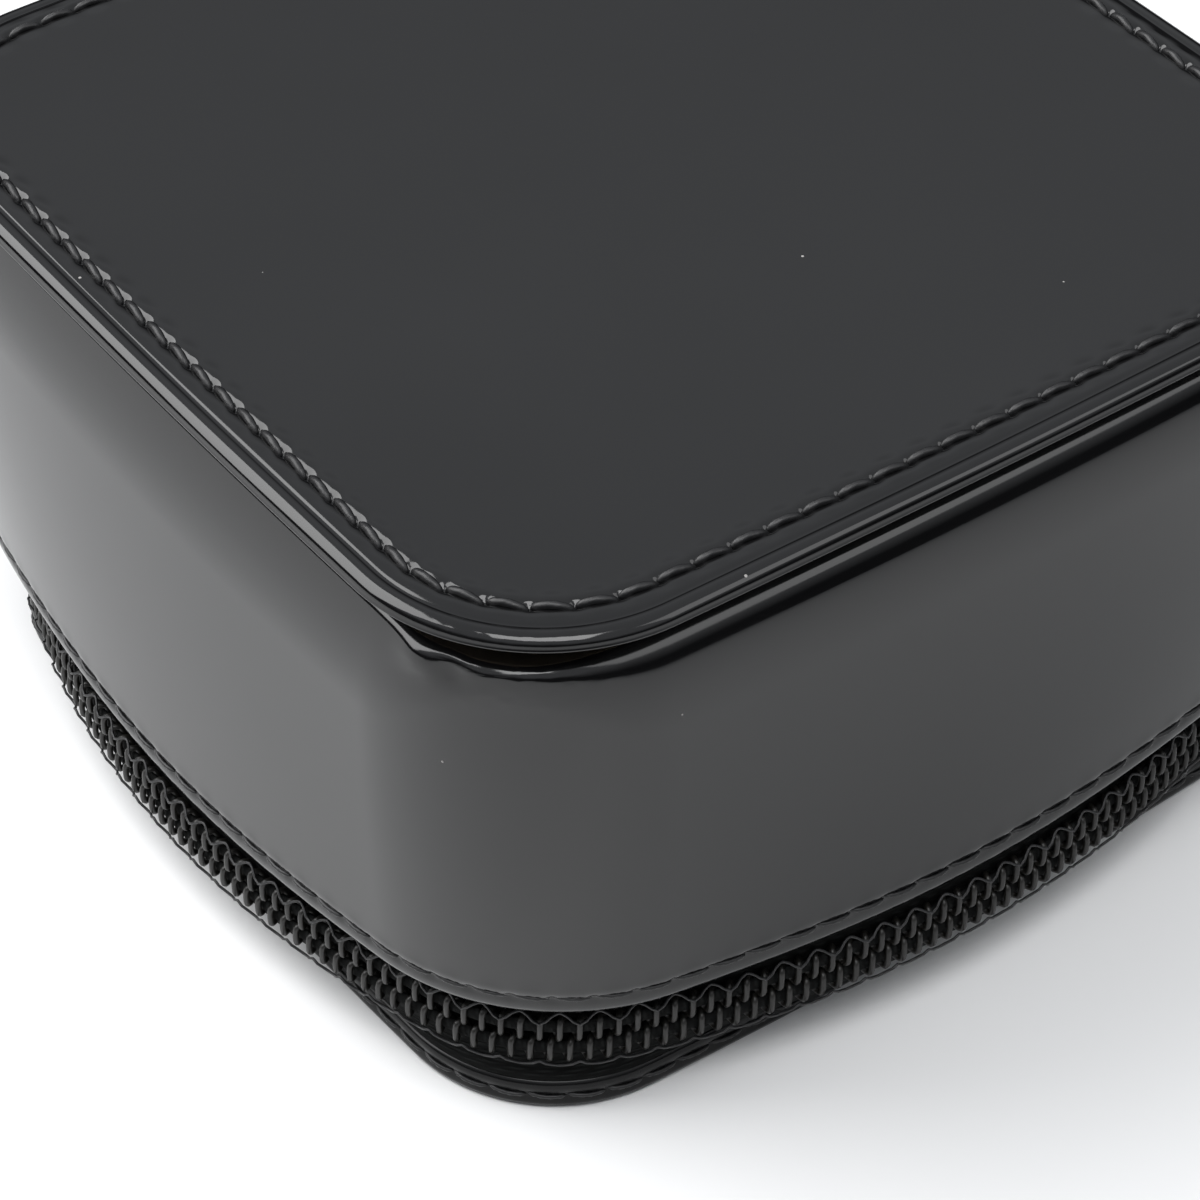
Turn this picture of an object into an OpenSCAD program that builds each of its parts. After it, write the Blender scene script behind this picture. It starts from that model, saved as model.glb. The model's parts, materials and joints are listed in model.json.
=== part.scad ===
// Zip-round leather jewellery case: a deep lid over a shallow base that carries the inner tray.
// Origin at the middle of the base's underside, +Z up, front towards -Y, hinge spine at the back (+Y).

/* [Case] */
// Width and depth across the middle of the lid's hem
case_w = 89.8; // [80:0.1:115]
// Height from the underside of the base to the top of the lid
case_h = 51; // [45:0.5:75]
// Radius of the lid's corners at the hem
hem_corner_r = 18.3; // [14:0.1:22]
// Radius of the long, shallow bow of each lid side
side_bow_r = 170; // [130:5:400]

/* [Shoulder] */
// How far the wall's rolled shoulder stands out beyond the top panel
shoulder_out = 0.3; // [0:0.1:1]
// How far the shoulder lies below the top panel's edge
shoulder_drop = 1.5; // [1.2:0.1:2.5]
// How far below the shoulder the wall's board ends, where the leather starts to lean in
board_drop = 7.5; // [2:0.5:12]
// How far the crevice under the top panel's edge runs in
crevice_depth = 1.5; // [1:0.1:2]

/* [Top panel] */
// How far the top panel's edge lies inside the middle of the hem
top_inset = 0.8; // [0.5:0.1:2]
// Corner radius of the top panel's edge
top_corner_r = 15.6; // [12:0.1:20]
// Thickness of the turned edge of the top panel
top_edge_t = 1.6; // [1.4:0.1:3]
// Distance of the stitch line from the top panel's edge
stitch_inset = 3.45; // [2.5:0.05:5]
// Stitch length from needle hole to needle hole
stitch_pitch = 3; // [2.4:0.1:4]

/* [Base] */
// Height of the base's leather edge
base_edge_h = 2.8; // [2.4:0.1:5]
// How far the base's sides lie inside the middle of the hem
base_inset = 4.2; // [3.5:0.1:6]
// Corner radius of the base
base_corner_r = 13.4; // [10:0.1:16]
// Radius of the almost straight bow of each base side
base_bow_r = 506; // [300:1:800]

/* [Materials] */
// Thickness of the leather
leather_t = 1; // [0.8:0.1:1.4]
// Thickness of the stiffening board
board_t = 1.2; // [0.8:0.1:1.6]
// Thickness of the suede lining
lining_t = 0.8; // [0.5:0.1:1.2]
// Thickness of the padding under the lid's lining
pad_t = 3; // [2:0.5:5]

/* [Zip] */
// Height of the zip band between the base's edge and the lid's hem
zip_gap = 9.2; // [9:0.1:12]
// Height of one row of coil
coil_h = 1.8; // [1.6:0.1:2]
// Thickness of the coil
coil_t = 1.4; // [1.2:0.1:1.6]
// Gap between the two rows of coil, where the slider's wedge runs
coil_gap = 1; // [1:0.1:1.4]
// Thickness of the tape
tape_t = 0.6; // [0.4:0.1:0.8]
// Gap between the tape and the leather of the hem
tape_clear = 0.2; // [0.1:0.1:0.6]
// Corner radius of the closed tape
tape_corner_r = 15; // [13:0.5:16]
// How far the closed zip bulges out along each side
tape_bulge = 4.78; // [3.5:0.01:5.5]

/* [Slider] */
// Length of the slider along the zip
slider_l = 9; // [8:0.5:11]
// Thickness of each slider plate
slider_plate_t = 1.05; // [0.8:0.05:1.3]
// Radial gap between the slider's plates and the zip
slider_clear = 0.35; // [0.3:0.05:0.5]
// Radius of the bore in the slider's crown
crown_bore_r = 0.56; // [0.5:0.01:0.7]
// Radial clearance of the pull's crossbar in that bore
pull_clear = 0.06; // [0.03:0.01:0.09]
// Length of the leather tab on the pull
tab_l = 17; // [12:1:22]

/* [Hinge] */
// Width of the leather spine at the back
spine_w = 50; // [40:1:56]
// How far the hinge line lies behind the spine
axis_out = 0.5; // [0.4:0.1:1]
// Half of the gap between the two halves of the spine
spine_gap = 0.2; // [0.2:0.05:0.4]

/* [Tray] */
// Gap between the tray and the slider where the slider is parked
tray_clear = 1.5; // [1:0.1:4]
// About the gap that the lid's corners keep from the tray's corners while the lid swings
tray_corner_clear = 0.6; // [0.4:0.1:3]
// Thickness of the tray's walls
tray_wall = 2; // [1.5:0.1:3]
// Height of the tray above the lining
tray_h = 24; // [18:1:26]
// Thickness of the dividers
divider_t = 1.6; // [1.2:0.1:2.4]
// How far the mirror's edge lies inside the top panel's edge
mirror_inset = 16; // [14:0.5:24]

/* [Hidden] */

patent = "#1d1d1f";
tape_black = "#141414";
coil_black = "#262522";
thread = "#101012";
suede = "#3a3a40";
board = "#6b5a44";
metal = "#b9b4a8";

side_steps = 6;     // half the number of chords along a side
corner_steps = 8;   // chords round a corner
wall_steps = 4;     // bands up the lid's wall
play = 0.1;         // free space between layers that are glued or sewn
big = 200;          // larger than the whole case

stitch_out = 0.15;      // how far an edge stitch stands out of the leather
hem_stitch_up = 1.7;    // height of the hem's stitch line above the hem
chain_rise = 4.4;       // height of the middle of the zip above the base's edge
lip_w = 2.2;            // width of the top panel's turned edge, round its board
flange_w = 7;           // how far the wall's top is turned in under the top panel
flange_t = 0.8;         // thickness of that turned-in edge
spine_foot_z = 0.6;     // height at which the spine starts on the base's edge
tape_step_up = 0.4;     // height above the hem at which the upper tape steps out to the wall
tape_up = 6;            // height of the upper tape above the hem
plate_over = 0.4;       // how far the slider's plates reach past the coils, upwards and downwards
tape_below = 0.5;       // how far below the slider the lower tape turns in
bend_below = 0.4;       // how far below the tape's turn the spine turns in
web_clear = 0.3;        // gap between the slider's wedge and each row of coil
rest_back_a = 0.6;      // degrees between the parked slider and the end of the side
stop_back_a = 0.2;      // degrees between the top stops and the end of the side
stop_l = 1.5;           // length of each top stop
crown_out = 1.3;        // distance from the slider's outer plate to the pull's hinge line
lining_in = 1.2;        // how far the base's lining lies inside the base's leather
roll_drop = 4.5;        // how far the tops of the rolls lie below the tray's top
divider_drop = 1.5;     // how far the dividers' tops lie below the tray's top
mirror_edge = 4;        // width of the leather edge round the mirror
edge_stitch = [stitch_pitch * 0.75, 2 * stitch_out, 0.4];
top_stitch = [stitch_pitch * 0.75, 0.45, 0.2];

half = case_w / 2;
hem_z = base_edge_h + zip_gap;
chain_z = base_edge_h + chain_rise;
coil_low_z = chain_z - coil_gap / 2 - coil_h;
coil_high_z = chain_z + coil_gap / 2;

// Outlines: [half width at the middle of a side, radius of the side, radius of the corner]
hem_line = [half, side_bow_r, hem_corner_r];
top_line = [half - top_inset, 8 * side_bow_r, top_corner_r];
shoulder_line = grow(top_line, shoulder_out);
crevice_line = grow(top_line, -crevice_depth);
base_line = [half - base_inset, base_bow_r, base_corner_r];
spine_seat = grow(base_line, stitch_out + play);
tape_half = half - leather_t - tape_clear;
tape_reach = tape_half - tape_corner_r;
tape_bow_r = (tape_reach * tape_reach + tape_bulge * tape_bulge) / (2 * tape_bulge);
tape_line = [tape_half, tape_bow_r, tape_corner_r];
coil_line = grow(tape_line, coil_t);

top_edge_z = case_h - top_edge_t;
shoulder_z = top_edge_z - shoulder_drop;
flange_z = top_edge_z - flange_t;
roof_t = leather_t;
tape_step_z = hem_z + tape_step_up;
tape_top_z = hem_z + tape_up;

lining_z = base_edge_h + lining_t;
tray_top_z = lining_z + tray_h;

// The slider runs on the right-hand side, whose bow is centred on this point
arc_x = tape_line[0] - tape_bow_r;
arc_a = side_angle(tape_line);
slider_a = to_degrees(slider_l / 2, tape_bow_r);
stop_a = to_degrees(stop_l, tape_bow_r);
slider_rest_a = arc_a - slider_a - rest_back_a;
stop_start_a = arc_a - stop_back_a;
coil_end_y = tape_bow_r * sin(stop_start_a) - play;
plate_in_r = tape_bow_r - tape_t - slider_clear;
plate_out_r = tape_bow_r + coil_t + slider_clear;
slider_half_h = coil_gap / 2 + coil_h + plate_over;
tape_turn_z = chain_z - slider_half_h - tape_below;
spine_bend_z = tape_turn_z - 0.6 * leather_t - bend_below;
web_half_h = coil_gap / 2 - web_clear;

// As the lid swings open, the lower edge of its tape rises past the tray's top at the front corners,
// which lie swing_r from the hinge line, and moves in by swing_in
lining_line = grow(hem_line, -leather_t - board_t - 2 * play - tape_t - lining_t);
tray_corner_r = 4.4;
half_by_slider = arc_x + (plate_in_r - slider_plate_t) * cos(slider_rest_a + slider_a) - tray_clear;
lid_reach = min(corner_reach(lining_line), corner_reach(tape_line) - tape_t);
swing_r = half + axis_out + lid_reach / sqrt(2);
swing_a = asin((tray_top_z - coil_high_z) / swing_r);
swing_in = swing_r * (1 - cos(swing_a)) + (coil_high_z - chain_z) * sin(swing_a);
// The tray stands inside that swing and inside the slider's path
tray_reach = lid_reach - swing_in / sqrt(2) - tray_corner_clear;
half_by_corner = (tray_reach - tray_corner_r) / sqrt(2) + tray_corner_r;
tray_half = min(half_by_slider, half_by_corner);
tray_inner = tray_half - tray_wall;
mirror_w = 2 * (top_line[0] - mirror_inset);

crown_h = 2.4;
crown_r = 1.2;
pivot_r = plate_out_r + slider_plate_t + crown_out;
crossbar_r = crown_bore_r - pull_clear;
arm_t = 0.7;
arm_clear = 0.2;
arm_w = 1.2;
fork_h = crown_h / 2 + arm_clear + arm_t;
fork_l = 4.5;
link_l = 9;
tongue_l = 3;
tongue_t = 0.5;
tab_t = 1.6;
tab_h = 4.6;
pull_lean = 7;

function to_degrees(length, radius) = length / radius * 180 / PI;
function grow(line, by) = [line[0] + by, line[1] + by, line[2] + by];
function mix(a, b, t) = a + (b - a) * t;

// The loop round the lid's wall at a height, moved outwards by an amount
function wall_loop(z, by) =
    let (low = outline(grow(hem_line, by)), high = outline(grow(shoulder_line, by)),
         t = (z - hem_z) / (shoulder_z - hem_z))
    [for (i = [0:len(low) - 1]) mix(low[i], high[i], t)];
// Loops up the wall between two heights, each with its height
function wall_loops(z0, z1, by) = [for (i = [0:wall_steps])
    let (z = mix(z0, z1, i / wall_steps)) [wall_loop(z, by), z]];
function reversed(list) = [for (i = [len(list) - 1:-1:0]) list[i]];

// The centre of a side's arc is this far beyond the middle of the case
function side_centre(line) = line[1] - line[0];
// The centre of a corner's arc is at [c, c]
function corner_centre(line) =
    let (k = side_centre(line), d = line[1] - line[2]) (sqrt(2 * d * d - k * k) - k) / 2;
// A corner reaches this far from the middle of the case
function corner_reach(line) = corner_centre(line) * sqrt(2) + line[2];
// A side's arc reaches this many degrees each way
function side_angle(line) = let (c = corner_centre(line)) atan2(c, c + side_centre(line));

function turn(q, p) = q == 0 ? p : turn(q - 1, [-p[1], p[0]]);
function side_point(line, a) = [line[1] * cos(a) - side_centre(line), line[1] * sin(a)];
function corner_point(line, a) =
    let (c = corner_centre(line)) [c + line[2] * cos(a), c + line[2] * sin(a)];
function outline(line) = let (a = side_angle(line)) [for (q = [0:3]) each concat(
    [for (i = [-side_steps:side_steps]) turn(q, side_point(line, a * i / side_steps))],
    [for (i = [1:corner_steps - 1]) turn(q, corner_point(line, a + (90 - 2 * a) * i / corner_steps))])];

// Point and heading at a distance along the outline: [x, y, heading]
function along(line, s) =
    let (a = side_angle(line), side_l = 2 * a * PI / 180 * line[1],
         corner_l = (90 - 2 * a) * PI / 180 * line[2], q = floor(s / (side_l + corner_l)),
         u = s - q * (side_l + corner_l), on_side = u < side_l,
         t = on_side ? mix(-a, a, u / side_l) : mix(a, 90 - a, (u - side_l) / corner_l),
         p = turn(q % 4, on_side ? side_point(line, t) : corner_point(line, t)))
    [p[0], p[1], t + 90 * q + 90];
function perimeter(line) = let (a = side_angle(line))
    4 * PI / 180 * (2 * a * line[1] + (90 - 2 * a) * line[2]);

module slab(line, z0, z1) {
    translate([0, 0, z0]) linear_extrude(z1 - z0) polygon(outline(line));
}

module ring(line, thickness, z0, z1) {
    difference() {
        slab(line, z0, z1);
        slab(grow(line, -thickness), z0 - 1, z1 + 1);
    }
}

// A closed section carried round the case. Each corner of the section is [outline or loop, z], and
// the corners run from the outside upwards and back down the inside.
module band(section) {
    loops = [for (corner = section)
        [for (p = is_num(corner[0][0]) ? outline(corner[0]) : corner[0]) [p[0], p[1], corner[1]]]];
    n = len(loops[0]);
    m = len(loops);
    polyhedron(
        points = [for (loop = loops) each loop],
        faces = [for (j = [0:m - 1]) for (i = [0:n - 1])
            let (a = j * n + i, b = j * n + (i + 1) % n, c = ((j + 1) % m) * n + (i + 1) % n,
                 d = ((j + 1) % m) * n + i)
            each [[a, c, b], [a, d, c]]],
        convexity = 6);
}

// A row of short bars, one for each stitch
module stitches(line, z, size) {
    count = round(perimeter(line) / stitch_pitch);
    for (i = [0:count - 1]) {
        p = along(line, (i + 0.5) * perimeter(line) / count);
        translate([p[0], p[1], z]) rotate([0, 0, p[2]]) cube(size, center = true);
    }
}

// Everything at the back between the ends of the spine
module at_spine() {
    intersection() {
        children();
        translate([-spine_w / 2, 0, -1]) cube([spine_w, big, big]);
    }
}

// The coils stop at the left end of the spine and at the rear end of the right-hand side
module without_coil_gap() {
    difference() {
        children();
        translate([-spine_w / 2 - 2, coil_end_y, -1]) cube([big, big, big]);
    }
}

// A piece of ring about the slider's own centre: radii, heights and angles
module arc_plate(r0, r1, z0, z1, a0, a1) {
    translate([arc_x, 0, 0]) rotate([0, 0, a0])
        rotate_extrude(angle = a1 - a0, $fn = 360)
            translate([r0, z0]) square([r1 - r0, z1 - z0]);
}

// Moves to the pull's hinge line: x points outwards, y along the zip towards the back
module at_pivot() {
    translate([arc_x, 0, 0]) rotate([0, 0, slider_rest_a]) translate([pivot_r, 0, chain_z]) children();
}

// Rounded rectangle centred on the origin
module block(w, d, r, z0, z1) {
    corner = [for (i = [0:corner_steps]) r * [cos(90 * i / corner_steps), sin(90 * i / corner_steps)]];
    x = w / 2 - r;
    y = d / 2 - r;
    translate([0, 0, z0]) linear_extrude(z1 - z0) polygon(concat(
        [for (p = corner) [x + p[0], y + p[1]]],
        [for (p = corner) [-x - p[1], y + p[0]]],
        [for (p = corner) [-x - p[0], -y - p[1]]],
        [for (p = corner) [x + p[1], -y - p[0]]]));
}

// ---- base ----

module base_panel() {
    color(patent) difference() {
        slab(base_line, 0, base_edge_h);
        slab(grow(base_line, -leather_t), leather_t, base_edge_h + 1);
    }
}

module base_board() {
    color(board) slab(grow(base_line, -leather_t - play), leather_t, base_edge_h - play);
}

module base_stitching() {
    color(thread) stitches(base_line, base_edge_h / 2, edge_stitch);
}

module base_lining() {
    color(suede) slab(grow(base_line, -leather_t - lining_in), base_edge_h, lining_z);
}

module hinge_spine_lower() {
    top = chain_z - spine_gap;
    color(patent) at_spine() band([
        [grow(spine_seat, leather_t), spine_foot_z],
        [grow(spine_seat, leather_t), base_edge_h / 2],
        [hem_line, spine_bend_z],
        [hem_line, top],
        [grow(hem_line, -leather_t), top],
        [grow(hem_line, -leather_t), spine_bend_z + 0.6 * leather_t],
        [spine_seat, base_edge_h / 2 + 0.8 * leather_t],
        [spine_seat, spine_foot_z]]);
}

module zip_tape_lower() {
    top = coil_low_z + coil_h;
    color(tape_black) band([
        [grow(base_line, -2 * play), base_edge_h],
        [tape_line, tape_turn_z],
        [tape_line, top],
        [grow(tape_line, -tape_t), top],
        [grow(tape_line, -tape_t), tape_turn_z + 0.2],
        [grow(base_line, -2 * play - tape_t), base_edge_h]]);
}

module zip_coil_lower() {
    color(coil_black) without_coil_gap() ring(coil_line, coil_t, coil_low_z, coil_low_z + coil_h);
}

module zip_bottom_stop() {
    stop_w = 1.6;
    color(metal) intersection() {
        ring(coil_line, coil_t, coil_low_z, chain_z + 0.1);
        translate([-spine_w / 2 - 1.8, 0, 0]) cube([stop_w, big, big]);
    }
}

module zip_top_stop_lower() {
    color(metal) arc_plate(tape_bow_r, tape_bow_r + coil_t, coil_low_z, coil_low_z + coil_h,
        stop_start_a, stop_start_a + stop_a);
}

module tray_frame() {
    color(suede) difference() {
        block(2 * tray_half, 2 * tray_half, tray_corner_r, lining_z, tray_top_z);
        block(2 * tray_inner, 2 * tray_inner, 1.2, lining_z - 1, tray_top_z + 1);
    }
}

module tray_divider_long() {
    long = 2 * (tray_inner - play);
    color(suede) translate([-long / 2, -divider_t / 2, lining_z])
        cube([long, divider_t, tray_h - divider_drop]);
}

module tray_divider_cross() {
    deep = tray_inner - divider_t / 2 - 2 * play;
    color(suede) translate([-divider_t / 2, -tray_inner + play, lining_z])
        cube([divider_t, deep, tray_h - divider_drop]);
}

// A padded roll with a flat foot; index counts from the divider backwards
module ring_roll(index) {
    bay = tray_inner - divider_t / 2;
    pitch = bay / 3;
    r = pitch / 2 - 0.15;
    l = 2 * (tray_inner - 0.6);
    axis_z = lining_z + tray_h - roll_drop - r;
    y = divider_t / 2 + pitch * (index + 0.5);
    translate([-l / 2, y, 0]) {
        translate([0, 0, axis_z]) rotate([0, 90, 0]) cylinder(h = l, r = r, $fn = 64);
        translate([0, -r + 0.1, lining_z]) cube([l, 2 * r - 0.2, axis_z - lining_z]);
    }
}

module ring_roll_front() {
    color(suede) ring_roll(0);
}

module ring_roll_middle() {
    color(suede) ring_roll(1);
}

module ring_roll_back() {
    color(suede) ring_roll(2);
}

module compartment_pad(side) {
    bay = tray_inner - divider_t / 2 - 4 * play;
    centre = divider_t / 2 + 2 * play + bay / 2;
    translate([side * centre, -centre, 0]) block(bay, bay, 1.5, lining_z, lining_z + 2);
}

module compartment_pad_left() {
    color(suede) compartment_pad(-1);
}

module compartment_pad_right() {
    color(suede) compartment_pad(1);
}

// ---- lid ----

module lid_top_panel() {
    color(patent) difference() {
        slab(top_line, top_edge_z, case_h);
        slab(grow(top_line, -lip_w), top_edge_z - 1, case_h - roof_t);
    }
}

module lid_top_board() {
    color(board) slab(grow(top_line, -lip_w - play), top_edge_z, case_h - roof_t);
}

module lid_top_stitching() {
    color(thread) stitches(grow(top_line, -stitch_inset), case_h, top_stitch);
}

module lid_wall() {
    flange = grow(top_line, -flange_w);
    color(patent) band(concat(
        wall_loops(hem_z, shoulder_z, 0),
        [[crevice_line, top_edge_z],
         [flange, top_edge_z],
         [flange, flange_z],
         [grow(crevice_line, -0.6 * leather_t), flange_z]],
        reversed(wall_loops(hem_z, shoulder_z, -leather_t))));
}

// A lining layer against the inside of the wall
module wall_layer(z0, z1, outer, thickness) {
    band(concat(wall_loops(z0, z1, outer), reversed(wall_loops(z0, z1, outer - thickness))));
}

module lid_wall_board() {
    color(board) wall_layer(tape_top_z + 2 * play, shoulder_z - board_drop, -leather_t - play, board_t);
}

module lid_hem_stitching() {
    color(thread) stitches(hem_line, hem_z + hem_stitch_up, edge_stitch);
}

module lid_wall_lining() {
    color(suede) wall_layer(hem_z + hem_stitch_up, flange_z - pad_t - play,
        -leather_t - board_t - 2 * play - tape_t, lining_t);
}

module lid_top_pad() {
    inset = leather_t + board_t + 2 * play + 1;
    color(suede) slab(grow(top_line, -inset), flange_z - pad_t, flange_z);
}

module mirror_frame() {
    outer = mirror_w + 2 * mirror_edge;
    top = flange_z - pad_t;
    color(patent) difference() {
        block(outer, outer, 8, top - 2, top);
        block(mirror_w + 2 * play, mirror_w + 2 * play, 4.1, top - 3, top + 1);
    }
}

module lid_mirror() {
    top = flange_z - pad_t;
    color("silver") block(mirror_w, mirror_w, 4, top - 1.5, top);
}

module hinge_spine_upper() {
    color(patent) at_spine() ring(hem_line, leather_t, chain_z + spine_gap, hem_z);
}

module zip_tape_upper() {
    face = -leather_t - play;
    back = face - tape_t;
    color(tape_black) band([
        [tape_line, coil_high_z],
        [tape_line, tape_step_z - 0.2],
        [wall_loop(tape_step_z, face), tape_step_z],
        [wall_loop(tape_top_z, face), tape_top_z],
        [wall_loop(tape_top_z, back), tape_top_z],
        [wall_loop(tape_step_z, back), tape_step_z + tape_t],
        [grow(tape_line, -tape_t), tape_step_z + tape_t - 0.2],
        [grow(tape_line, -tape_t), coil_high_z]]);
}

module zip_coil_upper() {
    color(coil_black) without_coil_gap() ring(coil_line, coil_t, coil_high_z, coil_high_z + coil_h);
}

module zip_top_stop_upper() {
    color(metal) arc_plate(tape_bow_r, tape_bow_r + coil_t, coil_high_z, coil_high_z + coil_h,
        stop_start_a, stop_start_a + stop_a);
}

// ---- slider and pull ----

module zip_slider() {
    low = chain_z - slider_half_h;
    high = chain_z + slider_half_h;
    a0 = slider_rest_a - slider_a;
    a1 = slider_rest_a + slider_a;
    color(metal) difference() {
        union() {
            arc_plate(plate_in_r - slider_plate_t, plate_in_r, low, high, a0, a1);
            arc_plate(plate_out_r, plate_out_r + slider_plate_t, low, high, a0, a1);
            arc_plate(plate_in_r - 0.2, plate_out_r + 0.2, chain_z - web_half_h, chain_z + web_half_h,
                slider_rest_a, slider_rest_a + slider_a * 0.8);
            at_pivot() {
                translate([-1.6, -1, -crown_h / 2]) cube([1.6, 2, crown_h]);
                translate([0, 0, -crown_h / 2]) cylinder(h = crown_h, r = crown_r, $fn = 48);
            }
        }
        at_pivot() translate([0, 0, -crown_h]) cylinder(h = 2 * crown_h, r = crown_bore_r, $fn = 48);
    }
}

// The pull leans in against the zip and points towards the front
module at_pull() {
    at_pivot() rotate([0, 0, -pull_lean]) children();
}

module zip_pull() {
    color(metal) at_pull() {
        translate([0, 0, -fork_h]) cylinder(h = 2 * fork_h, r = crossbar_r, $fn = 48);
        for (side = [0, 1]) mirror([0, 0, side]) {
            translate([0, 0, fork_h - arm_t]) cylinder(h = arm_t, r = arm_w / 2, $fn = 48);
            translate([-arm_w / 2 + 0.02, -fork_l - 0.5, fork_h - arm_t])
                cube([arm_w - 0.04, fork_l + 0.5, arm_t]);
        }
        translate([-arm_w / 2 + 0.02, -link_l, -fork_h]) cube([arm_w - 0.04, link_l - fork_l, 2 * fork_h]);
        translate([-tongue_t / 2, -link_l - tongue_l, -1.5]) cube([tongue_t, tongue_l + 0.5, 3]);
    }
}

module pull_tab() {
    start = link_l + play;
    color(patent) at_pull() difference() {
        union() {
            translate([-tab_t / 2, -start - tab_l + tab_h / 2, -tab_h / 2])
                cube([tab_t, tab_l - tab_h / 2, tab_h]);
            translate([-tab_t / 2, -start - tab_l + tab_h / 2, 0])
                rotate([0, 90, 0]) cylinder(h = tab_t, r = tab_h / 2, $fn = 48);
        }
        translate([-tongue_t / 2 - 0.05, -link_l - tongue_l - play, -1.6])
            cube([tongue_t + 0.1, tongue_l + 1, 3.2]);
    }
}

base_panel();
base_board();
base_stitching();
base_lining();
hinge_spine_lower();
zip_tape_lower();
zip_coil_lower();
zip_bottom_stop();
zip_top_stop_lower();
tray_frame();
tray_divider_long();
tray_divider_cross();
ring_roll_front();
ring_roll_middle();
ring_roll_back();
compartment_pad_left();
compartment_pad_right();
lid_top_panel();
lid_top_board();
lid_top_stitching();
lid_wall();
lid_wall_board();
lid_hem_stitching();
lid_wall_lining();
lid_top_pad();
mirror_frame();
lid_mirror();
hinge_spine_upper();
zip_tape_upper();
zip_coil_upper();
zip_top_stop_upper();
zip_slider();
zip_pull();
pull_tab();
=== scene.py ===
"""Looks of a zip-round patent leather jewellery case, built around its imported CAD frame."""
import json
import math

import bmesh
import bpy
import numpy as np
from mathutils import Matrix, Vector


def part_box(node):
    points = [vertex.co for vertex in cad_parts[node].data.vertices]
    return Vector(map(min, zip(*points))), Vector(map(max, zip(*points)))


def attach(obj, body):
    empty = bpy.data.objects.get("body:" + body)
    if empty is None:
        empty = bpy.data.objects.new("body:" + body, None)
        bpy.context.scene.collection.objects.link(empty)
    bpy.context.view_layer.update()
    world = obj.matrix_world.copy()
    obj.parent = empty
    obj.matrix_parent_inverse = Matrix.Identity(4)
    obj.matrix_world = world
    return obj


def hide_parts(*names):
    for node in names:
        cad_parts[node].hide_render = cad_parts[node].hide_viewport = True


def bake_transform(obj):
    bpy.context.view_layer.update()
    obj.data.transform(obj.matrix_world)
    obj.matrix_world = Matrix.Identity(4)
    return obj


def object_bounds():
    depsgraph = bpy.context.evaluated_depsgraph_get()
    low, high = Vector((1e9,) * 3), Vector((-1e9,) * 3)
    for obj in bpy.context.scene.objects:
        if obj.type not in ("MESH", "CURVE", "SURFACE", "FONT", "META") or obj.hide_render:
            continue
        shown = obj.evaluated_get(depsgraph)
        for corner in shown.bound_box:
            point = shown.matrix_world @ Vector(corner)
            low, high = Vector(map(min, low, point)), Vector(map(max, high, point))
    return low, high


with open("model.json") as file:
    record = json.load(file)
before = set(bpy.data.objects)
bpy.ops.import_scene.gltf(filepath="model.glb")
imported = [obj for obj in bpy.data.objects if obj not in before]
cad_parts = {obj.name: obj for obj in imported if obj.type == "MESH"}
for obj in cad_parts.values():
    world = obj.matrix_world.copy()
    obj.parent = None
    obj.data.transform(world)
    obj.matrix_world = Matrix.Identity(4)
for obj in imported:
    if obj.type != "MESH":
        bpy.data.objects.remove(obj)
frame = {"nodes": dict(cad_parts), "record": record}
cad_low, cad_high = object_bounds()

# Lengths below are in millimetres; MM turns them into Blender's metres.
MM = 0.001
STITCH = 3.0            # from needle hole to needle hole
STITCH_INSET = 3.45     # top stitch line to the panel's edge
HEM_ROW = 1.7           # hem stitch line to the hem
HEM_RISE = 0.7          # how far the hem goes up at the corners, and down in the middle of the sides
LEATHER = 1.0
SHOULDER_OUT = 0.3      # how far the shoulder line lies outside the top panel's edge
SHOULDER_DROP = 1.5     # shoulder line to the underside of the top panel
ROLL_DROP = 3.0         # top of the rolled shoulder to the top of the lid
WALL_FULL = 0.22        # how far the lid's side swells
WALL_FULL_H = 36        # height above the hem over which it swells
PINCH = 0.6933          # share of the way round at which the shoulder has a small fold
TAPE_THICK = 0.5
COIL_PITCH = 1.41       # one turn of the zip's coil
COIL_HALF = 0.7         # half of the coil's depth
COIL_REACH = 2.3        # middle of the zip to a coil's far edge
COIL_CROSS = 0.1        # middle of the zip to a coil's near edge, which is on the other side
COIL_WIRE = 0.25        # radius of the coil's filament
CLOTH_STEPS = 20        # frames over which a padded piece swells, not a length


def mm_box(node):
    """Lowest and highest corner of a CAD node, in millimetres."""
    low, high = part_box(node)
    return np.array(low) / MM, np.array(high) / MM


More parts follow.
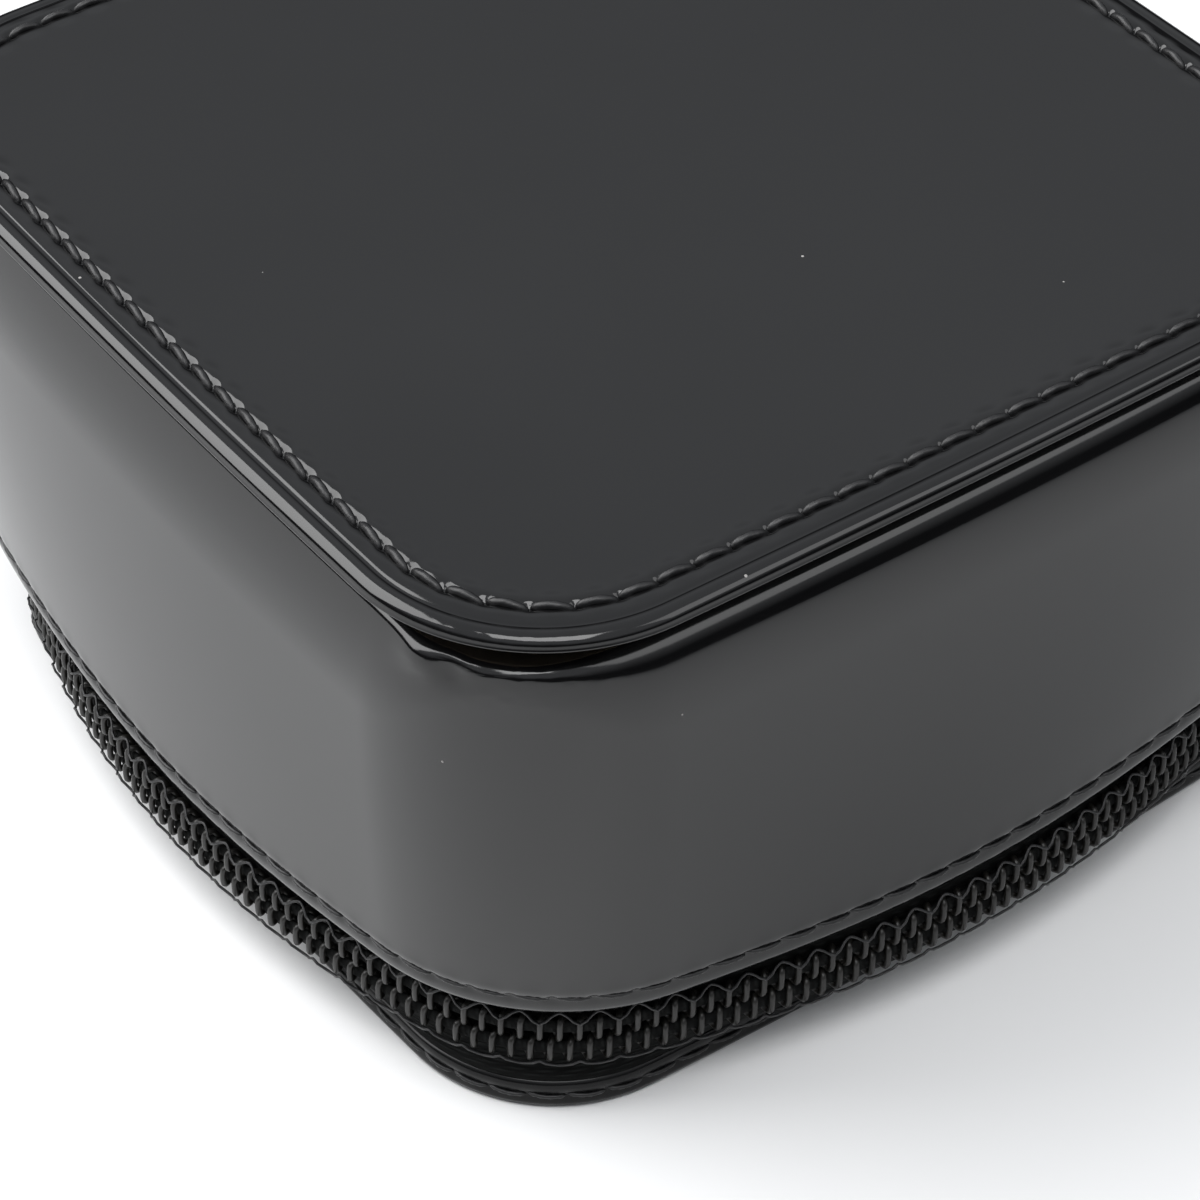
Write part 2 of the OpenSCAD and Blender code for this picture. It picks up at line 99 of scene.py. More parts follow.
class Outline:
    """A rounded square with bowed sides, walked anticlockwise from the front of its right side."""

    def __init__(self, half, bow, corner):
        self.bow, self.corner, self.k = bow, corner, bow - half
        d = bow - corner
        self.c = (math.sqrt(2 * d * d - self.k**2) - self.k) / 2
        self.a = math.atan2(self.c, self.c + self.k)
        self.side_l = 2 * self.a * bow
        self.quarter_l = self.side_l + (math.pi / 2 - 2 * self.a) * corner
        self.length = 4 * self.quarter_l
        self.half = half

    def grown(self, by):
        return Outline(self.half + by, self.bow + by, self.corner + by)

    def spots(self, s):
        """Quarter, whether on the side, and share of that stretch, at distances s."""
        s = np.mod(np.asarray(s, float), self.length)
        quarter = np.floor(s / self.quarter_l)
        u = s - quarter * self.quarter_l
        on_side = u < self.side_l
        share = np.where(on_side, u / self.side_l, (u - self.side_l) / (self.quarter_l - self.side_l))
        return quarter, on_side, share

    def place(self, spots):
        """Points and outward normals at spots, each an (n, 2) array."""
        quarter, on_side, share = spots
        t = np.where(on_side, -self.a + 2 * self.a * share, self.a + (math.pi / 2 - 2 * self.a) * share)
        r = np.where(on_side, self.bow, self.corner)
        cx = np.where(on_side, -self.k, self.c)
        cy = np.where(on_side, 0.0, self.c)
        turn = quarter * math.pi / 2
        n = np.stack([np.cos(t + turn), np.sin(t + turn)], -1)
        centre = np.stack([cx * np.cos(turn) - cy * np.sin(turn), cx * np.sin(turn) + cy * np.cos(turn)], -1)
        return centre + r[:, None] * n, n


TOP_LOW, TOP_HIGH = mm_box("lid_top_panel")
WALL_LOW, WALL_HIGH = mm_box("lid_wall")
BASE_HIGH = mm_box("base_panel")[1]
SPINE_LOW, SPINE_HIGH = mm_box("hinge_spine_lower")
TOP_Z = TOP_HIGH[2]
HEM_Z = WALL_LOW[2]
SHOULDER_Z = TOP_LOW[2] - SHOULDER_DROP
ROLL_Z = TOP_Z - ROLL_DROP
BASE_Z = BASE_HIGH[2]
JOINTS = {j["name"]: j for j in frame["record"]["behaviour"]["joints"]}
HINGE = np.array(JOINTS["lid_hinge"]["pos_m"]) / MM
CHAIN_Z = HINGE[2]

# Each outline has half its width, the radius of its bowed sides and the radius of its corners.
top_line = Outline(TOP_HIGH[0], 1360, 15.6)
shoulder_line = top_line.grown(SHOULDER_OUT)
hem_line = Outline(WALL_HIGH[0], 170, 18.3)
base_line = Outline(BASE_HIGH[0], 506, 13.4)

# The tape's sides stand out by the bulge in their middle, from which their radius follows.
TAPE_HALF, TAPE_CORNER, TAPE_BULGE = WALL_HIGH[0] - 1.2, 15, 4.78
tape_bow = ((TAPE_HALF - TAPE_CORNER) ** 2 + TAPE_BULGE**2) / (2 * TAPE_BULGE)
tape_line = Outline(TAPE_HALF, tape_bow, TAPE_CORNER)
coil_line = tape_line.grown(COIL_HALF)
stitch_line = top_line.grown(-STITCH_INSET)


# ---- meshes ----

def new_object(name, vertices, faces, uv=None):
    """A smooth-shaded mesh object from millimetre points, with its normals outwards."""
    mesh = bpy.data.meshes.new(name)
    mesh.from_pydata((np.asarray(vertices) * MM).tolist(), [], faces)
    mesh.polygons.foreach_set("use_smooth", np.ones(len(mesh.polygons), bool))
    if uv is not None:
        layer = mesh.uv_layers.new(name="along")
        layer.data.foreach_set("uv", np.asarray(uv, np.float32).ravel() * MM)
    obj = bpy.data.objects.new(name, mesh)
    bpy.context.scene.collection.objects.link(obj)
    bm = bmesh.new()
    bm.from_mesh(mesh)
    bmesh.ops.recalc_face_normals(bm, faces=bm.faces)
    bm.to_mesh(mesh)
    bm.free()
    return obj


def lengths(points):
    """Distance walked along points."""
    return np.concatenate([[0], np.cumsum(np.linalg.norm(np.diff(points, axis=0), axis=1))])


def sweep(name, rings, closed_section=True):
    """Closed rings joined into a skin. An open section gets a flat cap at each end."""
    rings = np.asarray(rings)
    m, n = rings.shape[:2]
    index = np.arange(m * n).reshape(m, n)
    u = lengths(np.vstack([rings[m // 2], rings[m // 2][:1]]))
    v = lengths(np.vstack([rings[:, 0], rings[:1, 0]]))
    faces, uv = [], []
    for j in range(m if closed_section else m - 1):
        k = (j + 1) % m
        for i in range(n):
            o = (i + 1) % n
            faces.append((index[j, i], index[j, o], index[k, o], index[k, i]))
            uv += [(u[i], v[j]), (u[i + 1], v[j]), (u[i + 1], v[j + 1]), (u[i], v[j + 1])]
    if not closed_section:
        for ring in (index[0], index[-1][::-1]):
            faces.append(tuple(ring))
            uv += [tuple(rings.reshape(-1, 3)[i, :2]) for i in ring]
    faces = [tuple(int(i) for i in f) for f in faces]
    return new_object(name, rings.reshape(-1, 3), faces, uv)


def tubes(name, paths, radius, sides=8, lobes=0, twist=0.0, ends=0.35, ply=0.16):
    """Round or plied strands of equal point counts, in one mesh. Each is closed at both ends, where it
    thins to the share ends."""
    paths = np.asarray(paths, float)
    count, m = paths.shape[:2]
    tangent = np.gradient(paths, axis=1)
    tangent /= np.linalg.norm(tangent, axis=2, keepdims=True)
    ref = np.where(np.abs(tangent[..., 2:3]) < 0.8, [0.0, 0.0, 1.0], [1.0, 0.0, 0.0])
    side = np.cross(tangent, ref)
    side /= np.linalg.norm(side, axis=2, keepdims=True)
    for i in range(1, m):
        flip = (side[:, i] * side[:, i - 1]).sum(1) < 0
        kept = side[:, i - 1] - (side[:, i - 1] * tangent[:, i]).sum(1, keepdims=True) * tangent[:, i]
        kept /= np.linalg.norm(kept, axis=1, keepdims=True)
        side[:, i] = np.where(flip[:, None] | (lobes == 0), kept, side[:, i])
    up = np.cross(side, tangent)
    walked = np.concatenate(
        [np.zeros((count, 1)), np.cumsum(np.linalg.norm(np.diff(paths, axis=1), axis=2), axis=1)], 1)
    angle = np.arange(sides) * 2 * math.pi / sides
    shape = 1 + (ply * np.cos(lobes * (angle[None, None] - twist * walked[..., None])) if lobes else 0)
    share = np.linspace(0, 1, m)
    taper = np.minimum(1, ends + (1 - ends) * np.minimum(share, 1 - share) * 8)[None, :, None]
    r = radius * shape * taper * np.ones((count, m, sides))
    rim = (paths[:, :, None] + r[..., None] * (side[:, :, None] * np.cos(angle)[:, None]
           + up[:, :, None] * np.sin(angle)[:, None]))
    faces = []
    for c in range(count):
        o = c * m * sides
        for j in range(m - 1):
            a = o + j * sides
            faces += [(a + i, a + (i + 1) % sides, a + sides + (i + 1) % sides, a + sides + i)
                      for i in range(sides)]
        faces.append(tuple(range(o + sides - 1, o - 1, -1)))
        faces.append(tuple(range(o + (m - 1) * sides, o + m * sides)))
    return new_object(name, rim.reshape(-1, 3), faces)


def ring_at(points, normals, out, z):
    """A ring of 3-D points, moved outwards by out, at height z; both may vary along the ring."""
    flat = points + normals * np.broadcast_to(out, len(points))[:, None]
    return np.column_stack([flat, np.broadcast_to(z, len(points))])


def hump(x, width):
    return np.exp(-(np.asarray(x) / width) ** 2)


def dress(obj, body, slot, material, *nodes):
    """Material, body and the CAD nodes that a piece stands for. The slot argument is not used."""
    obj.data.materials.clear()
    obj.data.materials.append(material)
    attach(obj, body)
    if nodes:
        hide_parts(*nodes)
    return obj


# ---- materials ----

class Shader:
    """A Principled material and short ways to add nodes to it."""

    def __init__(self, name, **values):
        self.material = bpy.data.materials.new(name)
        self.material.use_nodes = True
        self.tree = self.material.node_tree
        self.surface = self.tree.nodes["Principled BSDF"]
        for key, value in values.items():
            self.surface.inputs[key.replace("_", " ")].default_value = value
        self.coords = self.tree.nodes.new("ShaderNodeTexCoord").outputs["Object"]

    def node(self, kind, links=None, **values):
        node = self.tree.nodes.new(kind)
        for key, value in values.items():
            if hasattr(node, key):
                setattr(node, key, value)
            else:
                node.inputs[key.replace("_", " ")].default_value = value
        for key, source in (links or {}).items():
            self.tree.links.new(source, node.inputs[key])
        return node

    def noise(self, scale, detail=2.0, coords=None):
        links = {"Vector": coords or self.coords}
        return self.node("ShaderNodeTexNoise", links, Scale=scale, Detail=detail).outputs[0]

    def span(self, value, low, high, start=0.0, end=1.0):
        """Maps start..end of a value to low..high."""
        node = self.node("ShaderNodeMapRange", {"Value": value})
        for key, number in (("From Min", start), ("From Max", end), ("To Min", low), ("To Max", high)):
            node.inputs[key].default_value = number
        return node.outputs[0]

    def math(self, operation, a, b):
        node = self.node("ShaderNodeMath", operation=operation)
        for i, x in enumerate((a, b)):
            if isinstance(x, (int, float)):
                node.inputs[i].default_value = x
            else:
                self.tree.links.new(x, node.inputs[i])
        return node.outputs[0]

    def colours(self, value, low, high):
        ramp = self.node("ShaderNodeValToRGB", {"Fac": value})
        ramp.color_ramp.elements[0].color = (*low, 1)
        ramp.color_ramp.elements[1].color = (*high, 1)
        return ramp.outputs[0]

    def to(self, socket, value):
        self.tree.links.new(value, self.surface.inputs[socket])

    def bump(self, *layers):
        """Each layer is a height and its depth in millimetres."""
        normal = None
        for height, depth in layers:
            links = {"Height": height}
            if normal:
                links["Normal"] = normal
            normal = self.node("ShaderNodeBump", links, Distance=depth * MM).outputs[0]
        self.to("Normal", normal)


def patent_leather(name, polish, gloss=0.5):
    """Black patent leather: a smooth coat with faint swell, orange peel, dust and fine scratches."""
    s = Shader(name, IOR=1.5, Specular_IOR_Level=gloss)
    cells = s.node("ShaderNodeTexVoronoi", {"Vector": s.coords}, Scale=230.0)
    near = s.math("LESS_THAN", cells.outputs["Distance"], 0.026)
    chosen = s.math("GREATER_THAN", s.noise(400.0, 0.0, cells.outputs["Position"]), 0.6)
    dust = s.math("MULTIPLY", near, chosen)
    stretched = s.node("ShaderNodeMapping", {"Vector": s.coords}, Scale=(260.0, 30.0, 120.0),
                       Rotation=(0.0, 0.0, 0.6)).outputs[0]
    scratches = s.span(s.noise(6.0, 3.0, stretched), 0.0, 1.0, 0.70, 0.74)
    tint = s.colours(s.noise(60.0), (0.0030, 0.0030, 0.0032), (0.0050, 0.0050, 0.0053))
    # a colour mix takes its two colours on sockets 6 and 7, and gives the result on socket 2
    mix = s.node("ShaderNodeMix", {"Factor": dust}, data_type="RGBA")
    s.tree.links.new(tint, mix.inputs[6])
    mix.inputs[7].default_value = (0.30, 0.29, 0.28, 1)
    s.to("Base Color", mix.outputs[2])
    smudge = s.span(s.noise(45.0, 4.0), polish * 0.75, polish * 1.4, 0.35, 0.65)
    s.to("Roughness", s.math("ADD", s.math("MULTIPLY", dust, 0.5), smudge))
    s.bump((s.noise(28.0, 1.0), 0.10), (s.noise(900.0, 1.0), 0.0012), (scratches, 0.0006), (dust, 0.02))
    return s.material


def suede(name, colour):
    s = Shader(name, Sheen_Weight=0.35, Sheen_Roughness=0.4)
    dark = tuple(0.72 * c for c in colour)
    s.to("Base Color", s.colours(s.noise(220.0, 5.0), dark, tuple(1.25 * c for c in colour)))
    s.to("Roughness", s.span(s.noise(900.0), 0.82, 0.98))
    s.bump((s.noise(260.0, 4.0), 0.05), (s.noise(5200.0, 3.0), 0.035))
    return s.material


def woven_tape():
    """Twill tape: warp and weft from the strip's own length and width."""
    s = Shader("zip_tape_twill", Specular_IOR_Level=0.15)
    strip = s.node("ShaderNodeUVMap", uv_map="along").outputs[0]
    twill = s.node("ShaderNodeTexWave", {"Vector": strip}, wave_type="BANDS", bands_direction="DIAGONAL",
                   Scale=420.0, Distortion=0.4)
    ribs = s.node("ShaderNodeTexWave", {"Vector": strip}, wave_type="BANDS", bands_direction="Y",
                  Scale=500.0, Distortion=0.3)
    weave = s.math("MULTIPLY", twill.outputs["Fac"], ribs.outputs["Fac"])
    s.to("Base Color", s.colours(weave, (0.0025, 0.0027, 0.0026), (0.010, 0.011, 0.0105)))
    s.to("Roughness", s.span(s.noise(700.0), 0.7, 0.95))
    s.bump((weave, 0.09), (s.noise(4000.0, 3.0), 0.03))
    return s.material


def sewing_thread():
    s = Shader("black_thread")
    s.to("Base Color", s.colours(s.noise(1500.0, 3.0), (0.003, 0.003, 0.0034), (0.011, 0.011, 0.012)))
    s.to("Roughness", s.span(s.noise(2200.0), 0.32, 0.55))
    s.bump((s.noise(4200.0, 2.0), 0.02))
    return s.material


def nylon():
    s = Shader("nylon_coil")
    s.to("Base Color", s.colours(s.noise(500.0, 3.0), (0.005, 0.0046, 0.004), (0.014, 0.013, 0.011)))
    s.to("Roughness", s.span(s.noise(1200.0), 0.30, 0.46))
    s.bump((s.noise(1800.0), 0.008))
    return s.material


def nickel():
    s = Shader("nickel_plate", Metallic=1.0)
    s.to("Base Color", s.colours(s.noise(300.0, 3.0), (0.56, 0.54, 0.50), (0.68, 0.66, 0.61)))
    s.to("Roughness", s.span(s.noise(800.0, 5.0), 0.12, 0.26))
    s.bump((s.noise(1600.0, 2.0), 0.004))
    return s.material


def silvered_glass():
    s = Shader("silvered_glass", Metallic=1.0)
    s.to("Base Color", s.colours(s.noise(20.0), (0.84, 0.86, 0.87), (0.88, 0.89, 0.90)))
    s.to("Roughness", s.span(s.noise(60.0, 4.0), 0.0, 0.04, 0.4, 0.8))
    return s.material


def fibre_board():
    s = Shader("fibre_board")
    s.to("Base Color", s.colours(s.noise(700.0, 6.0), (0.22, 0.16, 0.10), (0.42, 0.34, 0.24)))
    s.to("Roughness", s.span(s.noise(900.0), 0.75, 0.95))
    s.bump((s.noise(1500.0, 5.0), 0.05))
    return s.material


def paper():
    s = Shader("floor_paper")
    s.to("Base Color", s.colours(s.noise(30.0), (0.80, 0.80, 0.80), (0.84, 0.84, 0.84)))
    s.to("Roughness", s.span(s.noise(200.0), 0.75, 0.9))
    return s.material


TOP_PATENT = patent_leather("patent_top", 0.07)
WALL_PATENT = patent_leather("patent_wall", 0.10)
BASE_PATENT = patent_leather("patent_base", 0.24, 0.22)
THREAD = sewing_thread()
TAPE = woven_tape()
COIL = nylon()
METAL = nickel()
SUEDE = suede("suede_lining", (0.045, 0.045, 0.052))
ROLL_SUEDE = suede("suede_rolls", (0.050, 0.050, 0.058))
MIRROR = silvered_glass()
BOARD = fibre_board()


# ---- leather ----

def stitch_relief(phase, off, depth):
    """How a row of stitches moves the leather. phase is the share of a stitch, off the distance
    from the line in millimetres, positive towards the middle of the panel."""
    from_hole = (phase - np.round(phase)) * STITCH
    arch = np.cos(math.pi * (phase - 0.5)) ** 2
    groove = -0.40 * hump(off, 0.42)
    hole = -hump(np.hypot(from_hole, off), 0.36)
    pucker = arch * (0.14 * hump(off - 0.85, 0.5) + 0.12 * hump(off + 0.8, 0.45))
    return depth * (groove + hole + pucker)


def cornerness(normals):
    """0 in the middle of a side, 1 in the middle of a corner."""
    return np.sin(2 * np.arctan2(normals[:, 1], normals[:, 0])) ** 2


def top_panel():
    """The stitched lid panel: flat field, sunk stitch line, crease, rolled edge and turned underside."""
    per_stitch = 12
    n = round(stitch_line.length / STITCH) * per_stitch
    spots = stitch_line.spots(np.arange(n) / n * stitch_line.length)
    phase = np.mod(np.arange(n) / per_stitch, 1)
    points, normals = top_line.place(spots)
    # distance in from the edge, and height below the top
    field = [(d, 0.0) for d in (12, 9, 7.2, 6.2, 5.6)]
    stitched = [(d, 0.0) for d in np.arange(5.3, 2.25, -0.13)]
    crease = [(2.15, -0.01), (1.95, -0.03), (1.78, -0.08), (1.64, -0.13), (1.50, -0.13), (1.36, -0.07)]
    bead = [(1.05 - 0.98 * math.sin(t), -0.82 + 0.79 * math.cos(t)) for t in np.radians(range(-16, 88, 8))]
    lip = [(0.07, -0.84), (0.01, -0.92), (0.0, -1.0), (0.07, -1.09), (0.35, -1.15), (1.3, -1.18)]
    under = [(2.2, -1.3), (6.5, -1.5)]
    rng = np.random.default_rng(3)
    rings = []
    for d, z in field + stitched + crease + bead + lip + under:
        relief = stitch_relief(phase, d - STITCH_INSET, 0.34) if 2.2 < d < 6 else 0.0
        worn = 0.02 * np.sin(np.arange(n) * 2 * math.pi * 9 / n + d) * (0.2 < d < 2.2)
        worn = worn + 0.008 * cornerness(normals) * rng.standard_normal(n) * (0.1 < d < 1.06)
        rings.append(ring_at(points, normals, -d, TOP_Z + z + relief + worn))
    obj = sweep("lid_top_leather", rings, closed_section=False)
    return dress(obj, "lid", "patent_leather", TOP_PATENT, "lid_top_panel")


def hem_lift(points):
    """The hem stands a little higher at the corners than in the middle of the sides."""
    return -HEM_RISE * np.cos(4 * np.arctan2(points[:, 1], points[:, 0]))


def wall_place(spots, z):
    """Points and normals on the ruled wall at a height, which may vary along the ring."""
    t = np.clip((np.asarray(z, float) - HEM_Z) / (SHOULDER_Z - HEM_Z), 0, 1) * np.ones(len(spots[0]))
    low, low_n = hem_line.place(spots)
    high, high_n = shoulder_line.place(spots)
    mix = t[:, None]
    normals = low_n * (1 - mix) + high_n * mix
    normals /= np.linalg.norm(normals, axis=1, keepdims=True)
    return low * (1 - mix) + high * mix, normals, t


def shoulder(ease, tilt, radius):
    """Heights from the roll's top and distances outwards, from the plain wall up over the roll. The
    wall leans in gently along ease up to a tilt, then turns over with the radius."""
    lean = np.concatenate([np.linspace(0, tilt, 8)[:-1], np.linspace(tilt, 90, 16)])
    step = np.concatenate([np.full(7, ease / 7), np.full(15, radius * math.radians(90 - tilt) / 15)])
    middle = np.radians((lean[1:] + lean[:-1]) / 2)
    up = np.concatenate([[0], np.cumsum(step * np.cos(middle))])
    out = -np.concatenate([[0], np.cumsum(step * np.sin(middle))])
    return up - up[-1], out


def lid_wall():
    """The lid's side: turned hem with its stitch groove, a slightly full face and the rolled shoulder."""
    per_stitch = 8
    n = round(hem_line.length / STITCH) * per_stitch
    spots = hem_line.spots(np.arange(n) / n * hem_line.length)
    phase = np.mod(np.arange(n) / per_stitch, 1)
    row = HEM_Z + HEM_ROW
    facing = shoulder_line.place(spots)[1]
    bend = cornerness(facing)
    front = (1 - bend) * np.clip(-facing[:, 1], 0, 1) ** 2
    # the shoulder has one shape in the corners, one in front and one on the other three sides
    shares = (bend, front, 1 - bend - front)
    shapes = (shoulder(2.0, 12, 0.9), shoulder(5.0, 20, 3.4), shoulder(8.0, 24, 0.9))
    roll = []
    for i in range(len(shapes[0][0])):
        rise = sum(share * shape[0][i] for share, shape in zip(shares, shapes))
        out = sum(share * shape[1][i] for share, shape in zip(shares, shapes))
        roll.append((ROLL_Z + rise, out))
    hem = [(HEM_Z + 0.5, -1.05), (HEM_Z + 0.12, -0.9), (HEM_Z, -0.55), (HEM_Z + 0.1, -0.16),
           (HEM_Z + 0.4, -0.02)]
    stitched = [(z, 0.0) for z in np.arange(HEM_Z + 0.65, HEM_Z + 3.0, 0.17)]
    foot = HEM_Z + 3.2
    face = [(foot + (roll[0][0] - foot) * share, 0.0) for share in np.arange(0, 0.99, 0.035)]
    tuck = [(ROLL_Z - 0.02, -4.5), (ROLL_Z - 0.1, -6.0), (ROLL_Z - 0.7, -6.0), (ROLL_Z - 1.0, -4.4),
            (ROLL_Z - 1.9, -3.4), (ROLL_Z - 2.8, -2.9)]
    inside = [(ROLL_Z - 4.5, -1.9), (ROLL_Z - 6.5, -1.2)]
    inside += [(z, -LEATHER) for z in np.arange(ROLL_Z - 7.4, HEM_Z + 1.0, -2.5)]
    rng = np.random.default_rng(7)
    off_fold = (np.arange(n) / n - PINCH) * hem_line.length
    fold = 0.38 * hump(off_fold, 1.8) - 0.30 * hump(off_fold - 2.6, 1.2)
    rings = []
    for part in (hem, stitched, face, roll, tuck, inside):
        for z, out in part:
            points, normals, t = wall_place(spots, z)
            fullness = WALL_FULL * np.sin(math.pi * np.clip((z - HEM_Z) / WALL_FULL_H, 0, 1))
            moved = out + (fullness if part is face or part is roll else 0.0)
            if part is stitched:
                moved = moved + stitch_relief(phase, z - row, 0.2) + fullness
            if part is roll:
                moved = moved + fold * hump(z - ROLL_Z + 1.0, 1.0) + 0.012 * bend * rng.standard_normal(n)
            rings.append(ring_at(points, normals, moved, z + hem_lift(points) * (1 - t)))
    obj = sweep("lid_wall_leather", rings)
    return dress(obj, "lid", "patent_leather", WALL_PATENT, "lid_wall")


def base_pan():
    """The base's leather: flat underside, rolled edge with its stitch groove, and the inner face."""
    per_stitch = 6
    n = round(base_line.length / STITCH) * per_stitch
    spots = base_line.spots(np.arange(n) / n * base_line.length)
    phase = np.mod(np.arange(n) / per_stitch, 1)
    points, normals = base_line.place(spots)
    edge = [(-3.0, 0.0), (-0.9, 0.0), (-0.4, 0.05), (-0.12, 0.25), (0.0, 0.6)]
    stitched = [(0.0, z) for z in np.arange(0.75, BASE_Z - 0.5, 0.15)]
    rim = [(-0.05, BASE_Z - 0.3), (-0.2, BASE_Z - 0.08), (-0.45, BASE_Z), (-0.8, BASE_Z - 0.04),
           (-1.0, BASE_Z - 0.3), (-1.0, 1.2), (-1.2, 1.0), (-4.0, 1.0)]
    rings = []
    for out, z in edge + stitched + rim:
        relief = stitch_relief(phase, z - BASE_Z / 2, 0.16) if out == 0.0 else 0.0
        rings.append(ring_at(points, normals, out + relief, z))
    obj = sweep("base_leather", rings, closed_section=False)
    return dress(obj, "base", "patent_leather", BASE_PATENT, "base_panel")


def spine():
    """One strip of leather at the back, from the base's edge to the hem."""
    width = SPINE_HIGH[0] - SPINE_LOW[0]
    thick = 0.9
    n = 48
    from_middle = np.linspace(-width / 2, width / 2, n)
    profile = [(base_line, 1.2, 0.65), (base_line, 1.28, 1.4), (hem_line, -0.1, 3.8), (hem_line, 0.0, 5.2)]
    profile += [(hem_line, 0.0, z) for z in np.arange(5.6, 10.2, 0.3)]
    profile += [(hem_line, -0.25, 10.8), (hem_line, -1.12, 11.6), (hem_line, -1.12, 12.4)]
    outer = []
    for line, out, z in profile:
        # the back is the side of quarter 1
        spots = (np.ones(n), np.ones(n, bool), from_middle / line.side_l + 0.5)
        points, normals = line.place(spots)
        outer.append((ring_at(points, normals, out, z), normals))
    front = np.array([ring for ring, _ in outer])
    back = np.array([ring - thick * np.column_stack([out, np.zeros(n)]) for ring, out in outer])
    rings = np.concatenate([front, back[::-1]])
    m = len(rings)
    index = np.arange(m * n).reshape(m, n)
    faces = [(index[j, i], index[j, i + 1], index[(j + 1) % m, i + 1], index[(j + 1) % m, i])
             for j in range(m) for i in range(n - 1)]
    faces += [tuple(index[:, 0][::-1]), tuple(index[:, -1])]
    obj = new_object("hinge_spine_leather", rings.reshape(-1, 3), [tuple(map(int, f)) for f in faces])
    obj.data.materials.append(WALL_PATENT)
    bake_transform(obj)
    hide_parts("hinge_spine_lower", "hinge_spine_upper")
    return obj


# ---- stitches ----

def stitch_paths(line, upright, height_at, slant, rise, sink):
    """Paths of the stitches round a line. upright is True on the top, False on a side face. Each leans
    by the slant, stands out by the rise in its middle, and ends as deep as the sink."""
    count = round(line.length / STITCH)
    t = np.linspace(0, 1, 13)
    s = (np.arange(count)[:, None] + t[None]) * line.length / count
    points, normals = line.place(line.spots(s.ravel()))
    lift = np.tile(-sink + (rise + sink) * np.sin(math.pi * t) ** 0.6, count)
    across = np.tile(slant * (1 - 2 * t), count)
    if upright:
        path = ring_at(points, normals, -across, height_at + lift)
    else:
        path = ring_at(points, normals, lift, height_at + across + hem_lift(points) * (line is hem_line))
    return path.reshape(count, len(t), 3)


def threads():
    top = stitch_paths(stitch_line, True, TOP_Z - 0.18, 0.20, 0.24, 0.45)
    obj = tubes("top_thread", top, 0.31, sides=12, lobes=3, twist=2.2, ply=0.05)
    dress(obj, "lid", "thread", THREAD, "lid_top_stitching")
    hem = stitch_paths(hem_line, False, HEM_Z + HEM_ROW, 0.12, 0.06, 0.3)
    obj = tubes("hem_thread", hem, 0.17, sides=9, lobes=3, twist=3.0)
    dress(obj, "lid", "thread", THREAD, "lid_hem_stitching")
    edge = stitch_paths(base_line, False, BASE_Z / 2, 0.10, 0.05, 0.3)
    obj = tubes("base_thread", edge, 0.16, sides=9, lobes=3, twist=3.0)
    dress(obj, "base", "thread", THREAD, "base_stitching")


# ---- zip ----

def strip_width(rings):
    """Distance walked across a strip, at its first point."""
    return sum(np.linalg.norm(b[0] - a[0]) for a, b in zip(rings, rings[1:]))


def tapes():
    """The two tapes, each a thin closed strip round the case."""
    n = 400
    tape_out, tape_in_wall = -0.02, -1.12
    spots = tape_line.spots(np.arange(n) / n * tape_line.length)
    tape, tape_n = tape_line.place(spots)
    upper = [ring_at(tape, tape_n, tape_out, z) for z in (7.75, 8.6, 9.5, 10.4, 11.3, 12.1)]
    for z in (12.5, 14.0, 16.0, 17.9):
        points, normals, _ = wall_place(spots, z)
        upper.append(ring_at(points, normals, tape_in_wall, z))
    inward = np.column_stack([tape_n, np.zeros(n)]) * TAPE_THICK
    obj = sweep("upper_tape", upper + [ring - inward for ring in upper[::-1]])
    dress(obj, "lid", "zip_tape", TAPE, "zip_tape_upper")
    flat = (strip_width(upper) * MM, tape_line.length * MM)
    base, base_n = base_line.place(spots)
    turn_z = 4.05
    lower = [ring_at(tape, tape_n, tape_out, z) for z in (6.65, 5.9, 5.1, turn_z)]
    lower += [ring_at(base * t + tape * (1 - t), base_n, -0.25 * t, turn_z - 1.2 * t)
              for t in (0.35, 0.7, 1.0)]
    hidden = [ring_at(base, base_n, -0.9 - d, BASE_Z - 0.02) for d in (0.6, 2.0, 3.6, 4.8)]
    fronts = lower + hidden
    # the tape gets thinner as it turns in, and its last five rings are thick downwards, not inwards
    thick = [TAPE_THICK] * 4 + [0.45, 0.4, 0.3] + [0.07] * 4
    lies_flat = [False] * 6 + [True] * 5
    backs = []
    for ring, deep, flat in list(zip(fronts, thick, lies_flat))[::-1]:
        inwards, downwards = (0, deep) if flat else (deep, 0)
        backs.append(ring - np.column_stack([tape_n * inwards, np.full(n, downwards)]))
    obj = sweep("lower_tape", fronts + backs)
    dress(obj, "base", "zip_tape", TAPE, "zip_tape_lower")
    flat = (strip_width(fronts) * MM, base_line.length * MM)


def coil_span():
    """Distances along coil_line at which the coils start, left of the spine, and end, at the top stop."""
    s = np.linspace(0, coil_line.length, 6000)
    points, _ = coil_line.place(coil_line.spots(s))
    near_side, spine_gap, stop_gap = 30, 2.2, 0.3
    on_back = points[:, 1] > near_side
    past_spine = points[:, 0] < SPINE_LOW[0] - spine_gap
    stop_y = mm_box("zip_top_stop_upper")[0][1]
    on_right = (points[:, 0] > near_side) & (s < coil_line.side_l * 1.2)
    at_stop = points[:, 1] > stop_y - stop_gap
    return s[on_back & past_spine][0], coil_line.length + s[on_right & at_stop][0]


